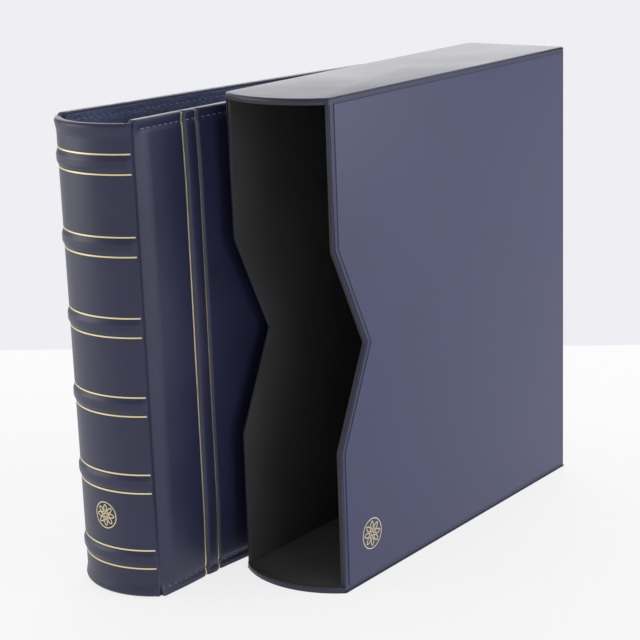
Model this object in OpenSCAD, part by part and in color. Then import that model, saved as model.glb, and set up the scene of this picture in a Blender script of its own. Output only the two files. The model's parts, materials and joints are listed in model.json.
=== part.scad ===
// Ring album for stamps, standing beside its slipcase. Millimetres, Z up.
//
// The album has two padded covers, a rounded spine with raised bands and a ring mechanism of two
// toggle blades under an arched rail, which carries pocket leaves. The slipcase is open at the
// front, where its top and bottom bow out over the spine and its sides have thumb notches.
//
// The origin is on the underside of the slipcase, in the middle of the straight part of its mouth.
// The slipcase runs back along +Y. The album stands to its left, ahead of it and turned a little.

/* [Covers] */
// Height of the covers and the spine
album_h = 318; // [290:1:340]
// Thickness of the closed album at the hinges
album_t = 75; // [70:0.5:84]
// Width of a cover from its hinge edge to its fore-edge
cover_w = 286; // [270:1:300]
// Lean of each cover towards the leaves, in degrees
cover_lean = 2.7; // [0.5:0.1:3]
// Thickness of the greyboard in a cover and in the spine
board_t = 2.5; // [2:0.1:3]
// Thickness of the foam under the outer leatherette
pad_t = 2.4; // [1.6:0.1:3]
// Thickness of the leatherette
skin_t = 0.8; // [0.6:0.05:1]
// Width of the leatherette turned in round the inside of a cover
turn_in = 3.5; // [3:0.5:16]
// Gap between the hinge line and the edge of a cover
hinge_gap = 2.3; // [2.1:0.1:3.5]
// Distance from the hinge line to the first of the two furrows pressed into a cover
furrow_in = 46.2; // [30:0.1:80]
// Distance from the first furrow to the second
furrow_pitch = 13; // [8:0.1:24]
// Width of a furrow
furrow_w = 4; // [2:0.1:7]
// Depth of a furrow
furrow_depth = 0.8; // [0.4:0.1:1.3]

/* [Spine] */
// Rise of the rounded spine over its chord
spine_rise = 13; // [10:0.5:16]
// Width of the groove between the spine and the face of a cover
groove_w = 2.8; // [2.4:0.1:4]
// Number of raised bands
band_count = 6; // [3:1:7]
// Distance from one raised band to the next
band_pitch = 52.7; // [36:0.1:56]
// Width of the cord under a raised band
band_w = 7; // [5:0.5:10]
// Height of the cord under a raised band
band_rise = 1.5; // [0.8:0.1:2.2]
// Height of the roll round the head and the tail of the spine
roll_h = 8; // [5:0.5:12]
// How far the roll stands out from the spine
roll_rise = 0.9; // [0.4:0.1:1.6]
// Thickness of the spine lining
spine_lining_t = 0.6; // [0.4:0.1:1]

/* [Ring mechanism] */
// Number of rings
ring_count = 4; // [2:1:4]
// Distance from one ring to the next
ring_pitch = 80; // [60:1:80]
// Diameter of a ring, through the middle of its wire
ring_d = 42; // [38:1:44]
// Diameter of the ring wire
wire_d = 4; // [3:0.1:4.4]
// Height of the ring centres over the base of the rail
ring_rise = 23; // [22:0.5:24]
// How far the rail reaches past the middle of the last ring
rail_over = 13; // [12:0.5:18]
// Width of the rail
rail_w = 26; // [24:0.5:28]
// Height of the rail at the crown
rail_h = 8; // [7.6:0.1:9]
// Rise of the arched crown over the side walls
crown_rise = 3; // [2:0.1:3.2]
// Thickness of the rail sheet
rail_sheet = 1; // [0.8:0.05:1.1]
// Thickness of a toggle blade
blade_t = 1.2; // [1:0.05:1.3]
// Turn of a blade from closed to open, in degrees
snap_angle = 11; // [8:0.5:11.5]
// Thickness of the bed under the rail, at its middle
bed_t = 4.1; // [3.6:0.1:5]
// Diameter of the rivets that hold the rail
rivet_d = 4.4; // [3:0.1:5]
// Diameter of a lever's pivot pin
lever_pin_d = 1.6; // [1.2:0.1:1.8]
// Width of a lever
lever_w = 14; // [10:0.5:15]
// Height of a lever's thumb tab over its pivot
lever_h = 19; // [14:0.5:20]
// Thickness of a lever's tab
lever_t = 1.6; // [1.2:0.1:2]

/* [Leaves] */
// Distance from one leaf to the next
leaf_pitch = 3.6; // [2.8:0.1:4]
// Width of a leaf
leaf_w = 248; // [230:1:252]
// Height of a leaf
leaf_h = 284; // [250:1:296]
// Thickness of a leaf
leaf_t = 0.8; // [0.5:0.1:1]
// Radius of a leaf's corners
leaf_corner_r = 5; // [2:0.5:10]
// Margin of a leaf inside its ring holes
leaf_margin = 8; // [6:0.5:9]
// Width of a ring hole in a leaf, along the spine
slot_w = 6.5; // [5.5:0.1:8]
// Pocket strips on one side of a leaf
pocket_rows = 6; // [3:1:8]
// Gap between one pocket strip and the next
pocket_gap = 6; // [4:0.5:12]
// Thickness of a clear pocket strip
pocket_t = 0.35; // [0.2:0.05:0.5]

/* [Slipcase] */
// Play between the album and each side of the slipcase
side_fit = 0.5; // [0.4:0.1:1.5]
// Play between the album and the top and bottom of the slipcase
height_fit = 1; // [0.6:0.1:2]
// Play between the fore-edge and the back of the slipcase
depth_fit = 2; // [1:0.5:6]
// Thickness of the slipcase board
case_board_t = 2.8; // [2:0.1:3.5]
// Thickness of the covering paper outside
wrap_t = 0.7; // [0.5:0.05:0.9]
// Thickness of the black paper inside
case_lining_t = 0.5; // [0.3:0.05:0.8]
// How far the top and bottom bow out over the mouth
mouth_rise = 14.5; // [10:0.5:18]
// Height of a thumb notch at the mouth
notch_h = 134; // [90:1:160]
// Depth of a thumb notch
notch_d = 32; // [20:0.5:45]
// Width of the border round a side sheet
border = 4; // [3:0.5:8]
// How far a side sheet stands proud of its border
sheet_proud = 0.2; // [0.1:0.05:0.4]

/* [Placement] */
// Distance of the middle of the spine's chord ahead of the slipcase's mouth
album_ahead = 70; // [40:1:120]
// Turn of the album away from the slipcase, in degrees
album_turn = 5.4; // [3:0.1:12]
// Gap between the front cover's fore-edge and the slipcase
stand_gap = 1.2; // [0.8:0.1:20]

/* [Hidden] */
$fn = 96;
navy = "#3b3d5a";
navy_light = "#5a5f7c";
black_paper = "#1c1c1e";
greyboard = "#8b867b";
foam = "#d9d6cc";
steel = "#b9bcc0";
leaf_black = "#202126";
clear_film = "#cfd8dc";
fit = 0.3;            // gap between a soft or sheet piece and one that moves past it
running = 0.05;       // radial clearance of a pin in its bore
seat = 0.03;          // clearance of a rivet, pin or cord in a hole of its own body
lining_play = 0.2;    // gap round a lining, inside the leatherette that is turned in
eps = 0.5;            // how far a cutting shape reaches past what it cuts

// Covers
cover_t = skin_t + pad_t + board_t + skin_t;
cover_edge_r = skin_t + pad_t;
hinge_x = album_t / 2 - skin_t;
hinge_y = skin_t;
furrow_r = (furrow_w * furrow_w / 4 + furrow_depth * furrow_depth) / (2 * furrow_depth);

// Spine: an arc about an upright axis on the leaves' side
spine_half = album_t / 2 - groove_w;
spine_r = (spine_half * spine_half + spine_rise * spine_rise) / (2 * spine_rise);
spine_cy = spine_r - spine_rise;
spine_half_angle = asin(spine_half / spine_r);
spine_board_angle = spine_half_angle - 5;  // the board ends short of the grooves
cord_angle = spine_half_angle - 0.3;
spine_board_r = spine_r - skin_t;
spine_lining_r = spine_board_r - board_t;
spine_inner_r = spine_lining_r - spine_lining_t;
band_z0 = (album_h - (band_count - 1) * band_pitch) / 2;
strip_r = hinge_gap - fit;
strip_from = 96;       // the ends of a joint strip, in degrees about the hinge line
strip_to = 200;

// Ring mechanism, in its own frame: X across the rail, Y away from the spine, Z along the rail
rail_l = (ring_count - 1) * ring_pitch + 2 * rail_over;
rail_base_y = spine_cy - spine_inner_r + bed_t;
rivet_foot_y = spine_cy - spine_board_r - rail_base_y;
wall_h = rail_h - crown_rise;
crown_r = (rail_w * rail_w / 4 + crown_rise * crown_rise) / (2 * crown_rise);
blade_play = 0.1;      // gap between a blade's outer edge and the rail's side wall
blade_gap = 0.4;       // gap between the two blades along the middle
pivot_x = rail_w / 2 - rail_sheet - blade_t / 2 - blade_play;
pivot_y = 3;
blade_w = pivot_x - blade_gap / 2;
lip_w = 1.2;           // the lips under the blades' outer edges
lip_t = 0.8;
ring_r = ring_d / 2;
ring_foot_x = 7.5;     // where a ring's wire stands on its blade
foot_sink = 6;         // degrees of wire past the foot, cut off by the blade's face
foot_angle = acos(ring_foot_x / ring_r) + foot_sink;
ring_slot_end = 2.8;   // gap between a ring and the inner end of its slot in the rail
ring_slot_side = 0.6;  // gap between a ring and each side of its slot
ring_slot_from = ring_foot_x - wire_d / 2 - ring_slot_end;
ring_slot_floor = pivot_y - blade_t / 2;
tip_gap = 0.1;
tip_cone_r = [1.25, 0.75];
tip_cone_l = 1.4;
tip_cone_root = 0.4;
tip_play = 0.2;        // gap round a tip's cone in its socket
lever_in = 4;          // the pivot pin's distance from the end of the rail
blade_in = 8;          // a blade's distance from the end of the rail
bed_in = 7;            // the bed's distance from the end of the rail
pin_y = 1.6;
hub_wall = 0.7;
hub_r = lever_pin_d / 2 + hub_wall;
tab_gap = 1;           // gap between the end of the rail and a lever's tab
arm_out = lever_in + tab_gap;
tongue_l = 6.2;
tongue_t = 0.8;
tongue_w = 8;
tongue_drop = 0.6;     // from the pivot pin's middle down to the tongue
ring_z = [for (i = [0 : ring_count - 1]) (i - (ring_count - 1) / 2) * ring_pitch];
rivet_z = [for (side = [-1, 1]) side * ring_pitch * (ring_count > 2 ? ring_count / 2 - 1 : 0.25)];
post_gap = 1.2;        // gap between a rivet and the notches in the blades
rivet_head_over = 2;
rivet_head_r = rivet_d / 2 + rivet_head_over;
rivet_head_h = 1.4;
pin_head_over = 0.8;
pin_head_r = lever_pin_d / 2 + pin_head_over;
pin_head_t = 0.5;

// Leaves: leaf 1 is nearest the back cover, and each hangs with its ring holes on the wires
leaf_count = 6;
ring_cy = rail_base_y + ring_rise;
leaf_cz = album_h / 2 - (slot_w - wire_d) / 2 + fit;
slot_in = 3.6;         // the ends of a ring hole, measured from the closed ring's wire
slot_out = 7.6;
pocket_h = leaf_h / pocket_rows - pocket_gap;
pocket_side = 14;      // from the ring holes to the pockets

// Slipcase
case_wall = wrap_t + case_board_t + case_lining_t;
case_t = album_t + 2 * (side_fit + case_wall);
case_h = album_h + 2 * (height_fit + case_wall);
case_d = cover_w + depth_fit + case_wall;
mouth_r = (case_t * case_t / 4 + mouth_rise * mouth_rise) / (2 * mouth_rise);

// Placement: the front cover's far corner stays the stand gap away from the slipcase
cover_reach = hinge_gap + cover_w;
far_x = hinge_x + skin_t * cos(cover_lean) - cover_reach * sin(cover_lean);
far_y = hinge_y + skin_t * sin(cover_lean) + cover_reach * cos(cover_lean);
album_x = -case_t / 2 - stand_gap - far_x * cos(album_turn) - far_y * sin(album_turn);

// ---- Frames ----

// The album: X from the back cover to the front cover, Y from the spine's chord to the fore-edge
module in_album() {
    translate([album_x, -album_ahead, 0]) rotate([0, 0, -album_turn]) children();
}

// The front cover: origin on the hinge line, X outwards, Y towards the fore-edge
module in_front_cover() {
    in_album() translate([hinge_x, hinge_y, 0]) rotate([0, 0, cover_lean]) children();
}

module in_back_cover() {
    in_album() mirror([1, 0, 0]) translate([hinge_x, hinge_y, 0]) rotate([0, 0, cover_lean])
        children();
}

// The ring mechanism: origin on top of its bed at half height
module in_mechanism() {
    in_album() translate([0, rail_base_y, album_h / 2]) children();
}

// A blade and its rings, in the frame of the right blade's pivot, closed
module in_right_blade() {
    in_mechanism() translate([pivot_x, pivot_y, 0]) rotate([0, 0, snap_angle / 2]) children();
}

// ---- Shared shapes ----

// Extrudes an outline drawn in Y and Z along X, from x to x + t
module along_x(x, t) {
    translate([x, 0, 0]) rotate([90, 0, 90]) linear_extrude(t) children();
}

module disc_y(r, y0, y1) {
    translate([0, y0, 0]) rotate([-90, 0, 0]) cylinder(r = r, h = y1 - y0);
}

module disc_x(r, x0, x1) {
    translate([x0, 0, 0]) rotate([0, 90, 0]) cylinder(r = r, h = x1 - x0);
}

// Section of a slab with its outer face at x = 0 and both outer corners rounded
module slab_profile(t, w, r) {
    intersection() {
        translate([-t, 0]) square([t, w]);
        union() {
            translate([-t, 0]) square([t - r, w]);
            translate([-t, r]) square([t, w - 2 * r]);
            for (y = [r, w - r]) translate([-r, y]) circle(r);
        }
    }
}

// A slab whose four outer edges are rounded
module rounded_slab(t, w, h, r) {
    intersection() {
        linear_extrude(h) slab_profile(t, w, r);
        translate([0, w, 0]) rotate([90, 0, 0]) linear_extrude(w) slab_profile(t, h, r);
    }
}

module rounded_rect(w, h, r) {
    translate([r, 0]) square([w - 2 * r, h]);
    translate([0, r]) square([w, h - 2 * r]);
    for (x = [r, w - r], y = [r, h - r]) translate([x, y]) circle(r);
}

// Sweeps a section about the spine's axis, over the same angle to each side of its middle
module spine_sweep(half_angle) {
    translate([0, spine_cy, 0]) rotate([0, 0, 270 - half_angle])
        rotate_extrude(angle = 2 * half_angle) children();
}

// ---- Covers ----

// The furrows' cutters, for the foam or, drawn in by the leatherette's thickness, for its face
module furrows(inset) {
    for (y = [furrow_in, furrow_in + furrow_pitch])
        translate([furrow_r - furrow_depth, y, -eps])
            cylinder(r = furrow_r - inset, h = album_h + 2 * eps);
}

module cover_core() {
    difference() {
        translate([0, hinge_gap + skin_t, skin_t])
            rounded_slab(pad_t + board_t, cover_w - 2 * skin_t, album_h - 2 * skin_t, pad_t);
        furrows(0);
    }
}

module cover_padding() {
    color(foam) intersection() {
        cover_core();
        translate([-pad_t, 0, 0]) cube([pad_t, cover_reach, album_h]);
    }
}

module cover_board() {
    color(greyboard) translate([-pad_t - board_t, hinge_gap + skin_t, skin_t])
        cube([board_t, cover_w - 2 * skin_t, album_h - 2 * skin_t]);
}

module cover_leatherette() {
    color(navy) difference() {
        translate([skin_t, hinge_gap, 0])
            rounded_slab(cover_t, cover_w, album_h, cover_edge_r);
        furrows(skin_t);
        cover_core();
        translate([skin_t - cover_t - eps, hinge_gap + turn_in, turn_in])
            cube([skin_t + 2 * eps, cover_w - 2 * turn_in, album_h - 2 * turn_in]);
    }
}

module cover_lining() {
    inset = turn_in + lining_play;
    color(navy_light) translate([skin_t - cover_t, hinge_gap + inset, inset])
        cube([skin_t, cover_w - 2 * inset, album_h - 2 * inset]);
}

module front_board() { in_front_cover() cover_board(); }
module front_padding() { in_front_cover() cover_padding(); }
module front_leatherette() { in_front_cover() cover_leatherette(); }
module front_lining() { in_front_cover() cover_lining(); }
module back_board() { in_back_cover() cover_board(); }
module back_padding() { in_back_cover() cover_padding(); }
module back_leatherette() { in_back_cover() cover_leatherette(); }
module back_lining() { in_back_cover() cover_lining(); }

// ---- Spine ----

// Section of one raised band: a low ridge on the board's outer face, with its crest rounded
module band_section(w, rise) {
    r = min(rise, w / 2) * 0.8;
    intersection() {
        translate([0, -w / 2]) square([rise, w]);
        union() {
            translate([0, -w / 2]) square([rise - r, w]);
            translate([0, -w / 2 + r]) square([rise, w - 2 * r]);
            for (side = [-1, 1]) translate([rise - r, side * (w / 2 - r)]) circle(r);
        }
    }
}

module at_bands() {
    for (i = [0 : band_count - 1]) translate([spine_board_r, band_z0 + i * band_pitch])
        children();
}

// Holes for the rivets, through the spine's board and everything over it
module rivet_holes() {
    in_mechanism() for (z = rivet_z) translate([0, 0, z])
        disc_y(rivet_d / 2 + seat, rivet_foot_y - eps, rail_h + eps);
}

module spine_board() {
    color(greyboard) difference() {
        in_album() spine_sweep(spine_board_angle) translate([spine_lining_r, skin_t])
            square([board_t, album_h - 2 * skin_t]);
        rivet_holes();
    }
}

module raised_bands() {
    color(greyboard) in_album() spine_sweep(cord_angle) at_bands()
        band_section(band_w, band_rise);
}

// Section of the leatherette: its plain stretch, the bands, and the rolls at the head and the tail
module spine_skin_section() {
    difference() {
        union() {
            translate([spine_board_r, 0]) square([skin_t, album_h]);
            at_bands() band_section(band_w + 2 * skin_t, band_rise + skin_t);
            for (z = [roll_h / 2, album_h - roll_h / 2]) translate([spine_board_r, z])
                band_section(roll_h, skin_t + roll_rise);
        }
        at_bands() translate([-eps, 0]) {
            translate([eps, 0]) band_section(band_w + 2 * seat, band_rise + seat);
            translate([0, -band_w / 2 - seat]) square([eps, band_w + 2 * seat]);
        }
    }
}

// Section of the leatherette turned in over the lower end of the board
module spine_turn_in() {
    translate([spine_lining_r - skin_t, 0]) {
        square([board_t + 1.5 * skin_t, skin_t]);
        square([skin_t, turn_in]);
    }
}

module spine_leatherette() {
    color(navy) in_album() {
        spine_sweep(spine_half_angle) spine_skin_section();
        spine_sweep(spine_board_angle) {
            spine_turn_in();
            translate([0, album_h]) mirror([0, 1]) spine_turn_in();
        }
    }
}

module spine_lining() {
    color(navy_light) difference() {
        in_album() spine_sweep(spine_board_angle)
            translate([spine_inner_r, turn_in + lining_play])
                square([spine_lining_t, album_h - 2 * (turn_in + lining_play)]);
        rivet_holes();
    }
}

// Leatherette at the bottom of the groove, bent round the hinge line
module joint_strip() {
    color(navy) translate([hinge_x, hinge_y, 0]) rotate([0, 0, strip_from])
        rotate_extrude(angle = strip_to - strip_from) translate([strip_r - skin_t, 0])
            square([skin_t, album_h]);
}

module front_joint_strip() { in_album() joint_strip(); }
module back_joint_strip() { in_album() mirror([1, 0, 0]) joint_strip(); }

// ---- Ring mechanism ----

// A strip that fills the hollow of the spine and is flat on top
module rail_bed() {
    color(greyboard) difference() {
        in_mechanism() intersection() {
            translate([0, spine_cy - rail_base_y, -rail_l / 2 + bed_in])
                cylinder(r = spine_inner_r - seat, h = rail_l - 2 * bed_in);
            translate([-rail_w / 2, -bed_t - eps, -rail_l / 2])
                cube([rail_w, bed_t + eps, rail_l]);
        }
        rivet_holes();
    }
}

// Section of the rail, or of its hollow when drawn thinner by inset
module rail_section(inset) {
    half = rail_w / 2 - inset;
    translate([-half, inset > 0 ? -eps : 0]) square([2 * half, wall_h + (inset > 0 ? eps : 0)]);
    intersection() {
        translate([0, rail_h - crown_r]) circle(r = crown_r - inset, $fn = 180);
        translate([-half, 0]) square([2 * half, rail_h]);
    }
}

// Where a ring passes through the rail's crown and shoulder, with room for its blade to turn
module ring_slots() {
    slot = [rail_w / 2 + eps - ring_slot_from, rail_h, wire_d + 2 * ring_slot_side];
    for (z = ring_z, side = [-1, 1])
        translate([side * (ring_slot_from + slot[0] / 2), ring_slot_floor + slot[1] / 2, z])
            cube(slot, center = true);
}

module ring_rail() {
    color(steel) difference() {
        in_mechanism() translate([0, 0, -rail_l / 2]) linear_extrude(rail_l) difference() {
            rail_section(0);
            rail_section(rail_sheet);
        }
        in_mechanism() {
            ring_slots();
            for (side = [-1, 1]) translate([0, pin_y, side * (rail_l / 2 - lever_in)])
                disc_x(lever_pin_d / 2 + seat, -rail_w, rail_w);
        }
        rivet_holes();
    }
    color(steel) in_mechanism() for (side = [-1, 1])
        translate([side * (rail_w / 2 - rail_sheet - lip_w / 2), lip_t / 2, 0])
            cube([lip_w, lip_t, rail_l - 2 * blade_in], center = true);
}

module rail_rivets() {
    dome_r = (rivet_head_r * rivet_head_r + rivet_head_h * rivet_head_h) / (2 * rivet_head_h);
    color(steel) in_mechanism() for (z = rivet_z) translate([0, 0, z]) {
        disc_y(rivet_d / 2, rivet_foot_y + seat, rail_h);
        intersection() {
            translate([0, rail_h + rivet_head_h - dome_r, 0]) sphere(dome_r);
            disc_y(rivet_head_r, rail_h, rail_h + rivet_head_h + eps);
        }
    }
}

module lever_pins() {
    end = rail_w / 2;
    color(steel) in_mechanism() for (side = [-1, 1])
        translate([0, pin_y, side * (rail_l / 2 - lever_in)]) {
            disc_x(lever_pin_d / 2, -end, end);
            disc_x(pin_head_r, end, end + pin_head_t);
            disc_x(pin_head_r, -end - pin_head_t, -end);
        }
}

// Toggle blade with a rolled outer edge, notched round the rivets
module right_blade_shape() {
    half_l = rail_l / 2 - blade_in;
    difference() {
        in_right_blade() {
            translate([-blade_w, -blade_t / 2, -half_l]) cube([blade_w, blade_t, 2 * half_l]);
            translate([0, 0, -half_l]) cylinder(d = blade_t, h = 2 * half_l);
        }
        in_mechanism() for (z = rivet_z) translate([0, 0, z])
            disc_y(rivet_d / 2 + post_gap, 0, rail_h);
    }
}

// The wire of a half ring: from its foot in the blade to its tip over the middle of the rail
module half_ring_wire(z) {
    tip_angle = 90 - asin(tip_gap / ring_r);
    translate([0, ring_rise, z]) rotate([0, 0, -foot_angle])
        rotate_extrude(angle = foot_angle + tip_angle) translate([ring_r, 0]) circle(d = wire_d);
}

// Everything over the blade's upper face
module over_blade() {
    in_right_blade() translate([-3 * rail_w, blade_t / 2, -rail_l])
        cube([6 * rail_w, 4 * ring_d, 2 * rail_l]);
}

module half_rings_shape() {
    intersection() {
        in_mechanism() for (z = ring_z) half_ring_wire(z);
        over_blade();
    }
}

// Cones that centre the tips: on the right halves, and wider by grow as sockets in the left
module tip_cones(grow) {
    root = tip_gap + tip_cone_root;
    for (z = ring_z) translate([root, ring_rise + ring_r, z]) rotate([0, -90, 0])
        cylinder(r1 = tip_cone_r[0] + grow, r2 = tip_cone_r[1] + grow,
            h = tip_cone_l + root + grow);
}

module mirror_album() {
    in_album() mirror([1, 0, 0]) rotate([0, 0, album_turn])
        translate([-album_x, album_ahead, 0]) children();
}

module right_blade() { color(steel) right_blade_shape(); }
module left_blade() { color(steel) mirror_album() right_blade_shape(); }

module right_ring_halves() {
    color(steel) {
        half_rings_shape();
        in_mechanism() tip_cones(0);
    }
}

module left_ring_halves() {
    color(steel) difference() {
        mirror_album() half_rings_shape();
        in_mechanism() tip_cones(tip_play);
    }
}

// Lever at the upper end: a tongue under the blades, a hub on the pin and a thumb tab
module lever() {
    tab_r = lever_w / 2;
    difference() {
        union() {
            disc_x(hub_r, -lever_w / 2, lever_w / 2);
            translate([-tongue_w / 2, -tongue_drop - tongue_t, -tongue_l])
                cube([tongue_w, tongue_t, tongue_l]);
            translate([-lever_w / 2, -lever_t / 2, 0]) cube([lever_w, lever_t, arm_out + lever_t]);
            translate([0, 0, arm_out]) linear_extrude(lever_t) {
                translate([-tab_r, -lever_t / 2]) square([lever_w, lever_h - tab_r + lever_t / 2]);
                translate([0, lever_h - tab_r]) circle(tab_r);
            }
        }
        disc_x(lever_pin_d / 2 + running, -lever_w, lever_w);
    }
}

module upper_lever() {
    color(steel) in_mechanism() translate([0, pin_y, rail_l / 2 - lever_in]) lever();
}

module lower_lever() {
    color(steel) in_mechanism() mirror([0, 0, 1]) translate([0, pin_y, rail_l / 2 - lever_in])
        lever();
}

// ---- Leaves ----

function leaf_x(i) = (i - (leaf_count + 1) / 2) * leaf_pitch;
function hole_y(i) = ring_cy + sqrt(ring_r * ring_r - leaf_x(i) * leaf_x(i));

// The outline's origin is on the leaf's ring line, at half height
module leaf_outline() {
    difference() {
        translate([-leaf_margin, -leaf_h / 2]) rounded_rect(leaf_w, leaf_h, leaf_corner_r);
        for (z = ring_z) translate([0, z]) {
            translate([-slot_in + slot_w / 2, -slot_w / 2])
                square([slot_in + slot_out - slot_w, slot_w]);
            translate([-slot_in + slot_w / 2, 0]) circle(d = slot_w);
            translate([slot_out - slot_w / 2, 0]) circle(d = slot_w);
        }
    }
}

module leaf(i) {
    color(leaf_black) in_album() translate([leaf_x(i), hole_y(i), leaf_cz])
        along_x(-leaf_t / 2, leaf_t) leaf_outline();
}

// Clear strips on both sides of a leaf, each glued along its lower edge
module pockets(i) {
    strip_l = leaf_w - leaf_margin - pocket_side - leaf_corner_r;
    color(clear_film) in_album() translate([leaf_x(i), hole_y(i) + pocket_side, leaf_cz])
        for (row = [0 : pocket_rows - 1], x = [-leaf_t / 2 - pocket_t, leaf_t / 2])
            translate([x, 0, -leaf_h / 2 + row * (pocket_h + pocket_gap) + pocket_gap / 2])
                cube([pocket_t, strip_l, pocket_h]);
}

// ---- Slipcase ----

// Plan of the top and bottom: a rectangle whose front edge bows out
module case_plan(inset) {
    half = case_t / 2 - inset;
    translate([-half, inset]) square([2 * half, case_d - 2 * inset]);
    intersection() {
        translate([0, mouth_r - mouth_rise]) circle(r = mouth_r - inset, $fn = 180);
        translate([-half, -mouth_rise]) square([2 * half, mouth_rise + inset + eps]);
    }
}

// A thumb notch in Y and Z, wider by grow on every side
module notch_outline(grow) {
    slant = norm([notch_h / 2, notch_d]);
    half = notch_h / 2 + grow * slant / notch_d;
    depth = notch_d + grow * slant / (notch_h / 2);
    ahead = 2 * mouth_rise;
    wide = half * (depth + ahead) / depth;
    translate([0, case_h / 2]) polygon([[-ahead, wide], [depth, 0], [-ahead, -wide]]);
}

// A side's outline, drawn in by inset all round, its thumb notch included
module side_outline(inset) {
    difference() {
        translate([inset, inset]) square([case_d - 2 * inset, case_h - 2 * inset]);
        notch_outline(inset);
    }
}

module side_board() {
    color(greyboard) along_x(case_t / 2 - wrap_t - case_board_t, case_board_t) difference() {
        translate([wrap_t, wrap_t + case_board_t])
            square([case_d - 2 * wrap_t - case_board_t, case_h - 2 * (wrap_t + case_board_t)]);
        notch_outline(wrap_t);
    }
}

module case_right_board() { side_board(); }
module case_left_board() { mirror([1, 0, 0]) side_board(); }

module case_bottom_board() {
    color(greyboard) translate([0, 0, wrap_t]) linear_extrude(case_board_t) case_plan(wrap_t);
}

module case_top_board() {
    color(greyboard) translate([0, 0, case_h - wrap_t - case_board_t])
        linear_extrude(case_board_t) case_plan(wrap_t);
}

module case_back_board() {
    reach = wrap_t + case_board_t;
    color(greyboard) translate([-case_t / 2 + wrap_t, case_d - reach, reach])
        cube([case_t - 2 * wrap_t, case_board_t, case_h - 2 * reach]);
}

module case_base_sheet() {
    color(navy) linear_extrude(wrap_t) case_plan(0);
}

module side_sheet() {
    color(navy_light) along_x(case_t / 2 - wrap_t, wrap_t) side_outline(border + fit);
}

module case_right_sheet() { side_sheet(); }
module case_left_sheet() { mirror([1, 0, 0]) side_sheet(); }

// Covering of the top, the back, the borders of the sides and every edge round the mouth
module case_wrap() {
    side_in = case_t / 2 - wrap_t;
    wall_in = case_t / 2 - case_wall;
    color(navy) difference() {
        union() {
            for (z = [wrap_t, case_h - case_wall]) translate([0, 0, z])
                linear_extrude(case_wall - (z == wrap_t ? wrap_t : 0)) case_plan(0);
            translate([-case_t / 2, 0, wrap_t]) cube([case_t, case_d, case_h - wrap_t]);
        }
        // the boards and the hollow between them
        translate([0, 0, wrap_t]) linear_extrude(case_h - 2 * wrap_t) case_plan(wrap_t);
        translate([-wall_in, -2 * mouth_rise, case_wall])
            cube([2 * wall_in, case_d, case_h - 2 * case_wall]);
        along_x(-case_t, 2 * case_t) notch_outline(0);
        // room for the side sheets, and the lower level of their borders
        for (side = [0, 1]) mirror([side, 0, 0]) {
            along_x(side_in, wrap_t + eps) side_outline(border);
            translate([case_t / 2 - sheet_proud, -case_t, -eps])
                cube([eps, case_d + 2 * case_t, case_h + 2 * eps]);
        }
    }
    // the covering along the sides' edges, round the mouth and the thumb notches
    for (side = [0, 1]) mirror([side, 0, 0])
        color(navy) along_x(wall_in, case_board_t + case_lining_t) difference() {
            intersection() {
                union() {
                    notch_outline(wrap_t);
                    square([wrap_t, case_h]);
                }
                translate([0, case_wall]) square([case_d, case_h - 2 * case_wall]);
            }
            notch_outline(0);
        }
}

module case_lining() {
    half = case_t / 2 - case_wall + case_lining_t;
    lid = wrap_t + case_board_t;
    color(black_paper) difference() {
        translate([0, 0, lid]) linear_extrude(case_h - 2 * lid) {
            translate([-half, wrap_t]) square([2 * half, case_d - wrap_t - lid]);
            intersection() {
                case_plan(wrap_t);
                translate([-case_t, -case_t]) square([2 * case_t, case_t + wrap_t]);
            }
        }
        translate([case_lining_t - half, -case_t, case_wall])
            cube([2 * (half - case_lining_t), case_d - case_wall + case_t, case_h - 2 * case_wall]);
        for (side = [0, 1]) mirror([side, 0, 0]) {
            along_x(half - case_lining_t - eps, case_t) notch_outline(wrap_t);
            translate([half - case_lining_t - eps, -case_t, case_wall])
                cube([case_t, case_t + wrap_t, case_h - 2 * case_wall]);
        }
    }
}

front_board();
front_padding();
front_leatherette();
front_lining();
back_board();
back_padding();
back_leatherette();
back_lining();
spine_board();
raised_bands();
spine_leatherette();
spine_lining();
front_joint_strip();
back_joint_strip();
rail_bed();
ring_rail();
rail_rivets();
lever_pins();
left_blade();
left_ring_halves();
right_blade();
right_ring_halves();
upper_lever();
lower_lever();
leaf(1);  // leaf_1
leaf(2);  // leaf_2
leaf(3);  // leaf_3
leaf(4);  // leaf_4
leaf(5);  // leaf_5
leaf(6);  // leaf_6
pockets(1);  // pockets_1
pockets(2);  // pockets_2
pockets(3);  // pockets_3
pockets(4);  // pockets_4
pockets(5);  // pockets_5
pockets(6);  // pockets_6
case_left_board();
case_right_board();
case_top_board();
case_bottom_board();
case_back_board();
case_wrap();
case_base_sheet();
case_left_sheet();
case_right_sheet();
case_lining();
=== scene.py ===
"""Leather, foil, stitching, metal and paper for a ring album for stamps and its slipcase.

The two covers are padded and sewn round three sides, and their leather runs on over the rounded
spine. Each new piece but the leather in the grooves is hung on an empty named for its body.
"""

import json
import math

import bmesh
import bpy
from bpy.props import FloatProperty, FloatVectorProperty, IntProperty, PointerProperty
from mathutils import Matrix, Vector


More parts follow.
